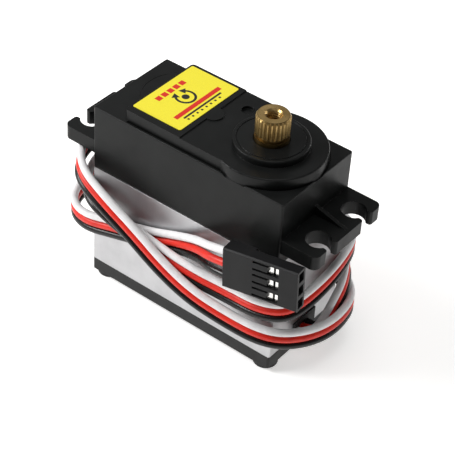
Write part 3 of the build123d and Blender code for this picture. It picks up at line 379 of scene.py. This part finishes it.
def brass_with_dark_foot_and_valley_shade(name, dark, light, rough):
    """Turned brass of the output shaft, darker towards its foot and with painted shade between
    its splines.
    """
    g = Graph(name)
    tarnish = g.noise(3.0, 5.0)
    colour = g.mix(g.spread(tarnish, 0.3, 0.7), dark, light)
    place = g.add("ShaderNodeSeparateXYZ")
    g.join(g.place, place.inputs["Vector"])
    fully_dark_z, undarkened_z = DARK_FOOT_HEIGHTS
    # darker towards the foot of the shaft
    foot = g.spread(place.outputs["Z"], undarkened_z * MM, fully_dark_z * MM)
    x, y = g.math("SUBTRACT", place.outputs["X"], OUTPUT_X * MM), place.outputs["Y"]
    radius = g.math("SQRT", g.math("ADD", g.math("MULTIPLY", x, x), g.math("MULTIPLY", y, y)))
    # painted shade in the valleys between the splines, where the teeth shade each other
    deep = g.spread(radius, SPLINE_TIP_R * MM, SPLINE_ROOT_R * MM, 0.0, VALLEY_SHADE)
    outside = g.math("GREATER_THAN", radius, (SPLINE_ROOT_R - VALLEY_MARGIN) * MM)
    dark_foot_and_valley_shade = g.math("MAXIMUM", foot, g.math("MULTIPLY", deep, outside))
    darkened_brass_colour = tuple(c * DARKENED_BRASS_SHADE for c in dark)
    lines = g.noise(0.5, 3.0)
    bare = g.spread(lines, 0.3, 0.7, rough - 0.05, rough + 0.07)
    roughness = g.math("ADD", bare, g.math("MULTIPLY", dark_foot_and_valley_shade, DARKENED_BRASS_ROUGHNESS))
    return g.finish(g.mix(dark_foot_and_valley_shade, colour, darkened_brass_colour), roughness, g.bump(lines, 0.0008), metallic=1.0)


def insulation(name, dark, light, rough):
    """Soft extruded insulation: a slight sheen, handling marks and faint extrusion waviness."""
    g = Graph(name)
    marks = g.noise(1.6, 5.0)
    wave = g.noise(0.8, 2.0)
    colour = g.mix(g.spread(marks, 0.32, 0.62), dark, light)
    roughness = g.spread(marks, 0.3, 0.7, rough + 0.08, rough - 0.04)
    return g.finish(colour, roughness, g.bump(wave, 0.02), specular_ior_level=0.35)


def rubber(name):
    """Black seal rubber with a dusty bloom."""
    g = Graph(name)
    bloom = g.noise(1.2, 6.0)
    colour = g.mix(g.spread(bloom, 0.4, 0.75), (0.008, 0.008, 0.008), (0.03, 0.03, 0.031))
    return g.finish(colour, g.spread(bloom, 0.3, 0.7, 0.62, 0.8), g.bump(g.noise(0.25), 0.01))


def printed(name, colour, rough=0.3):
    """A flat print on vinyl film: dense ink with a hint of screen dots."""
    g = Graph(name)
    dots = g.add("ShaderNodeTexVoronoi")
    dots.inputs["Scale"].default_value = 1 / (0.18 * MM)
    g.join(g.place, dots.inputs["Vector"])
    thin = tuple(c * 0.93 for c in colour)
    tone = g.mix(g.spread(dots.outputs["Distance"], 0.2, 0.6), colour, thin)
    orange_peel = g.noise(0.9, 3.0)
    roughness = g.spread(orange_peel, 0.3, 0.7, rough, rough + 0.1)
    return g.finish(tone, roughness, g.bump(orange_peel, 0.01))


def laminated(name):
    """Stacked sheet-steel laminations, seen as fine lines across the stack."""
    g = Graph(name)
    lines = g.add("ShaderNodeTexWave", bands_direction="Z")
    lines.inputs["Scale"].default_value = 1 / (0.35 * MM)
    g.join(g.place, lines.inputs["Vector"])
    colour = g.mix(lines.outputs["Fac"], (0.10, 0.10, 0.10), (0.36, 0.36, 0.37))
    return g.finish(colour, 0.4, g.bump(lines.outputs["Fac"], 0.03), metallic=1.0)


def wound(name):
    """Enamelled copper wire laid side by side."""
    g = Graph(name)
    turns = g.add("ShaderNodeTexWave", bands_direction="Z")
    turns.inputs["Scale"].default_value = 1 / (0.9 * MM)
    turns.inputs["Distortion"].default_value = 0.6
    g.join(g.place, turns.inputs["Vector"])
    colour = g.mix(turns.outputs["Fac"], (0.20, 0.05, 0.02), (0.78, 0.30, 0.12))
    return g.finish(colour, 0.3, g.bump(turns.outputs["Fac"], 0.08), metallic=0.8)


def circuit_board(name):
    """Green solder mask over copper tracks."""
    g = Graph(name)
    cells = g.add("ShaderNodeTexVoronoi", distance="CHEBYCHEV", feature="F1")
    cells.inputs["Scale"].default_value = 1 / (1.6 * MM)
    g.join(g.place, cells.inputs["Vector"])
    tracks = g.spread(cells.outputs["Distance"], 0.30, 0.34)
    colour = g.mix(tracks, (0.010, 0.11, 0.035), (0.02, 0.20, 0.07))
    return g.finish(colour, 0.28, g.bump(tracks, 0.02))


BRASS = dict(dark=(0.38, 0.25, 0.09), light=(0.62, 0.43, 0.18), rough=0.31)

MATERIALS = {
    "case_plastic": (moulded, dict(
        dark=(0.0050, 0.0054, 0.0053), light=(0.0076, 0.0082, 0.0080), rough=0.36,
        specular=0.17)),
    "cover_plastic": (moulded, dict(
        dark=(0.008, 0.008, 0.008), light=(0.013, 0.013, 0.013), rough=0.44, specular=0.28)),
    "connector_plastic": (moulded, dict(
        dark=(0.007, 0.007, 0.0075), light=(0.011, 0.011, 0.0115), rough=0.42, grain_mm=0.1,
        depth_mm=0.003, edge_mm=0.08, specular=0.22)),
    "chip_plastic": (moulded, dict(
        dark=(0.012, 0.012, 0.013), light=(0.02, 0.02, 0.021), rough=0.55, edge_mm=0.05)),
    "white_plastic": (moulded, dict(
        dark=(0.70, 0.69, 0.64), light=(0.80, 0.79, 0.75), rough=0.4, edge_wear_and_highlight=0.1)),
    "blue_plastic": (moulded, dict(
        dark=(0.02, 0.04, 0.16), light=(0.03, 0.06, 0.22), rough=0.4)),
    "anodised": (metal, dict(
        dark=(0.49, 0.49, 0.50), light=(0.56, 0.56, 0.57), rough=0.42, grain_mm=0.09,
        depth_mm=0.0012, edge_mm=0.12)),
    "brass": (metal, dict(**BRASS, grain_mm=0.5, depth_mm=0.0008, edge_mm=0)),
    "shaft_brass": (brass_with_dark_foot_and_valley_shade, BRASS),
    "turned_steel": (metal, dict(
        dark=(0.42, 0.42, 0.43), light=(0.60, 0.60, 0.61), rough=0.22, grain=(0.2, 0.2, 1))),
    "bearing_steel": (metal, dict(
        dark=(0.6, 0.6, 0.61), light=(0.72, 0.72, 0.73), rough=0.12, depth_mm=0.0005)),
    "screw_steel": (metal, dict(
        dark=(0.25, 0.25, 0.26), light=(0.42, 0.42, 0.43), rough=0.33)),
    "motor_plate": (metal, dict(
        dark=(0.45, 0.45, 0.46), light=(0.62, 0.62, 0.63), rough=0.3, grain=(1, 1, 0.1))),
    "copper": (metal, dict(
        dark=(0.55, 0.24, 0.13), light=(0.80, 0.40, 0.25), rough=0.25)),
    "tinned": (metal, dict(
        dark=(0.80, 0.79, 0.76), light=(0.93, 0.92, 0.89), rough=0.20, depth_mm=0.004,
        edge_mm=0.05)),
    "ferrite": (moulded, dict(
        dark=(0.02, 0.02, 0.021), light=(0.05, 0.05, 0.052), rough=0.6, grain_mm=0.08,
        depth_mm=0.01)),
    "capacitor_can": (metal, dict(
        dark=(0.55, 0.55, 0.56), light=(0.72, 0.72, 0.73), rough=0.25, grain=(1, 1, 0.2))),
    "seal_rubber": (rubber, {}),
    "white_insulation": (insulation, dict(
        dark=(0.72, 0.71, 0.715), light=(0.80, 0.79, 0.795), rough=0.36)),
    "red_insulation": (insulation, dict(
        dark=(0.62, 0.018, 0.010), light=(0.72, 0.026, 0.012), rough=0.36)),
    "black_insulation": (insulation, dict(
        dark=(0.004, 0.004, 0.004), light=(0.008, 0.008, 0.008), rough=0.27)),
    "label_film": (printed, dict(colour=(0.95, 0.83, 0.035))),
    "red_ink": (printed, dict(colour=(0.72, 0.020, 0.006))),
    "black_ink": (printed, dict(colour=(0.010, 0.012, 0.010))),
    "laminations": (laminated, {}),
    "coil_wire": (wound, {}),
    "board_mask": (circuit_board, {}),
    "carbon_track": (moulded, dict(
        dark=(0.01, 0.01, 0.01), light=(0.03, 0.03, 0.03), rough=0.5)),
}

NODE_MATERIALS = {
    "top_case": "case_plastic",
    "middle_case": "anodised",
    "bottom_cover": "cover_plastic",
    "top_gasket": "seal_rubber",
    "bottom_gasket": "seal_rubber",
    "case_screws": "screw_steel",
    "label": "label_film",
    "output_shaft": "shaft_brass",
    "upper_bearing_outer_ring": "bearing_steel",
    "upper_bearing_inner_ring": "bearing_steel",
    "upper_bearing_balls": "bearing_steel",
    "lower_bearing_outer_ring": "bearing_steel",
    "lower_bearing_inner_ring": "bearing_steel",
    "lower_bearing_balls": "bearing_steel",
    "shaft_o_ring": "seal_rubber",
    "gear_pin_a": "turned_steel",
    "gear_pin_b": "turned_steel",
    "first_gear": "brass",
    "second_gear": "brass",
    "third_gear": "brass",
    "motor_pinion": "brass",
    "motor_can": "motor_plate",
    "motor_end_cap": "white_plastic",
    "motor_front_bush": "brass",
    "motor_rear_bush": "brass",
    "motor_magnets": "ferrite",
    "motor_terminals": "tinned",
    "motor_brushes": "copper",
    "motor_shaft": "turned_steel",
    "motor_commutator": "copper",
    "motor_armature": "laminations",
    "motor_windings": "coil_wire",
    "motor_screws": "screw_steel",
    "potentiometer_housing": "blue_plastic",
    "potentiometer_track": "carbon_track",
    "potentiometer_wiper": "brass",
    "potentiometer_pins": "tinned",
    "control_board": "board_mask",
    "microcontroller": "chip_plastic",
    "drive_transistors": "chip_plastic",
    "capacitor": "capacitor_can",
    "inner_leads": "white_insulation",
    "signal_wire": "white_insulation",
    "power_wire": "red_insulation",
    "ground_wire": "black_insulation",
    "connector_housing": "connector_plastic",
    "signal_contact": "tinned",
    "power_contact": "tinned",
    "ground_contact": "tinned",
    "lead_grommet": "seal_rubber",
}


def dress(piece, material):
    """Give the piece this material alone."""
    piece.data.materials.clear()
    piece.data.materials.append(material)


# ---- added detail ----
def mesh_piece(name, verts, faces, material, body, smooth=True):
    """A new piece from its points in mm and its faces."""
    data = bpy.data.meshes.new(name)
    data.from_pydata([Vector(v) * MM for v in verts], [], faces)
    data.update()
    if smooth:
        data.shade_smooth()
    piece = bpy.data.objects.new(name, data)
    bpy.context.scene.collection.objects.link(piece)
    dress(piece, material)
    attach(piece, body)
    return piece


def build_thread(material):
    """The tapped thread inside the output shaft's screw hole."""
    rows = int((THREAD_TOP - THREAD_BOTTOM) / THREAD_PITCH * THREAD_STEPS)
    verts, faces = [], []
    for row in range(rows + 1):
        z = THREAD_BOTTOM + row * THREAD_PITCH / THREAD_STEPS
        for side in range(THREAD_SIDES):
            turn = side / THREAD_SIDES
            phase = (z / THREAD_PITCH - turn) % 1.0
            depth = abs(2 * phase - 1)
            r = THREAD_CREST_R + (THREAD_ROOT_R - THREAD_CREST_R) * depth
            angle = 2 * math.pi * turn
            verts.append((OUTPUT_X + r * math.cos(angle), r * math.sin(angle), z))
    for row in range(rows):
        for side in range(THREAD_SIDES):
            after = (side + 1) % THREAD_SIDES
            low, high = row * THREAD_SIDES, (row + 1) * THREAD_SIDES
            faces.append((low + side, high + side, high + after, low + after))
    return mesh_piece("horn_screw_thread", verts, faces, material, "output",
                      smooth=False)


def build_gate_mark(material):
    """A low ridge along an arc on the roof."""
    x, y, z = GATE_CENTRE
    start, end = GATE_SWEEP
    half, quarter = GATE_WIDTH / 2, GATE_WIDTH / 4
    profile = ((-half, 0.0), (-quarter, GATE_HEIGHT), (quarter, GATE_HEIGHT), (half, 0.0))
    verts, faces = [], []
    for step in range(GATE_STEPS + 1):
        angle = math.radians(start + (end - start) * step / GATE_STEPS)
        for out, up in profile:
            r = GATE_R + out
            verts.append((x + r * math.cos(angle), y + r * math.sin(angle), z + up))
    count = len(profile)
    for step in range(GATE_STEPS):
        for side in range(count - 1):
            a = step * count + side
            faces.append((a, a + 1, a + count + 1, a + count))
    return mesh_piece("gate_mark", verts, faces, material, ROOT)


def slab(outline):
    """Points and faces of a thin printed patch with this outline."""
    count = len(outline)
    verts = [(x, y, z) for z in (PRINT_Z, PRINT_Z + PRINT_THICK) for x, y in outline]
    faces = [tuple(range(count, 2 * count))]
    for i in range(count):
        j = (i + 1) % count
        faces.append((i, j, count + j, count + i))
    return verts, faces


def patch(x0, x1, y0, y1):
    """Outline of a rectangle."""
    return [(x0, y0), (x1, y0), (x1, y1), (x0, y1)]


def arc(centre, r, start, end, steps=40):
    """Points along an arc, its ends in degrees."""
    angles = [math.radians(start + (end - start) * i / steps) for i in range(steps + 1)]
    return [(centre[0] + r * math.cos(a), centre[1] + r * math.sin(a)) for a in angles]


def arc_band(centre, inner, outer, start, end):
    """Outline of a curved band."""
    return arc(centre, outer, start, end) + arc(centre, inner, start, end)[::-1]


def arrow_head(centre, r, angle, way):
    """A triangle at the end of a curved band, pointing along it."""
    a = math.radians(angle)
    out, along = Vector((math.cos(a), math.sin(a))), Vector((-math.sin(a), math.cos(a))) * way
    base = Vector(centre) + out * r
    tri = [base + out * ARROW_HALF, base + along * ARROW_LENGTH, base - out * ARROW_HALF]
    return [tuple(p) for p in (tri if way > 0 else reversed(tri))]


def print_piece(name, outlines, material):
    """One colour of the print, as a piece on the label."""
    verts, faces = [], []
    for outline in outlines:
        more_verts, more_faces = slab(outline)
        faces += [tuple(i + len(verts) for i in face) for face in more_faces]
        verts += more_verts
    return mesh_piece(name, verts, faces, material, ROOT, smooth=False)


def build_label_print(materials):
    """Plain marks on the label: red blocks, a turning-shaft sign, two stripes and some ticks."""
    red = [patch(*BLOCK_X, y, y + BLOCK_WIDTH) for y in BLOCK_STARTS]
    red.append(patch(*RED_STRIPE))
    print_piece("label_red_print", red, materials["red_ink"])
    black = [
        arc_band(SIGN_CENTRE, *SIGN_BAND, -SIGN_REACH, SIGN_REACH),
        arrow_head(SIGN_CENTRE, ARROW_R, SIGN_REACH, 1),
        arrow_head(SIGN_CENTRE, ARROW_R, -SIGN_REACH, -1),
        arc(SIGN_CENTRE, SIGN_DOT_R, 0, 359, SIGN_DOT_SIDES),
        patch(*BLACK_STRIPE),
    ]
    black += [patch(*TICK_X, y, y + TICK_WIDTH) for y in TICK_STARTS]
    print_piece("label_black_print", black, materials["black_ink"])


# ---- room ----
def area_light(name, place, size, power):
    """A flat rectangular light, turned to the object."""
    data = bpy.data.lights.new(name, "AREA")
    data.shape = "RECTANGLE"
    data.size, data.size_y = size
    data.energy = power
    light = bpy.data.objects.new(name, data)
    light.location = place
    beam = Vector(LIGHT_TARGET) - Vector(place)
    light.rotation_euler = beam.to_track_quat("-Z", "Y").to_euler()
    bpy.context.scene.collection.objects.link(light)


def build_room():
    """A plain white table under large soft lights."""
    world = bpy.data.worlds.new("room")
    world.use_nodes = True
    sky = world.node_tree.nodes["Background"]
    sky.inputs["Color"].default_value = WORLD_COLOUR
    sky.inputs["Strength"].default_value = WORLD_STRENGTH
    bpy.context.scene.world = world
    for name, (place, size, power) in LIGHTS.items():
        area_light(name, place, size, power)
    data = bpy.data.meshes.new("floor")
    data.from_pydata([(x * FLOOR_HALF, y * FLOOR_HALF, 0) for x, y in patch(-1, 1, -1, 1)],
                     [], [(0, 1, 2, 3)])
    floor = bpy.data.objects.new("floor", data)
    bpy.context.scene.collection.objects.link(floor)
    g = Graph("floor_paper")
    tone = g.mix(g.noise(FLOOR_CLOUD_MM, 3.0), *FLOOR_TONES)
    dress(floor, g.finish(tone, 0.9, specular_ior_level=0.1, emission_color=WORLD_COLOUR,
                          emission_strength=FLOOR_GLOW))
    bpy.context.scene.view_settings.view_transform = "Standard"


build_camera()
wires = build_lead()
materials = {name: make(name, **values) for name, (make, values) in MATERIALS.items()}
for node_name, material_name in NODE_MATERIALS.items():
    dress(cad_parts[node_name], materials[material_name])
for node_name, wire in wires.items():
    dress(wire, materials[NODE_MATERIALS[node_name]])
build_thread(materials["brass"])
build_label_print(materials)
build_gate_mark(materials["case_plastic"])
build_room()
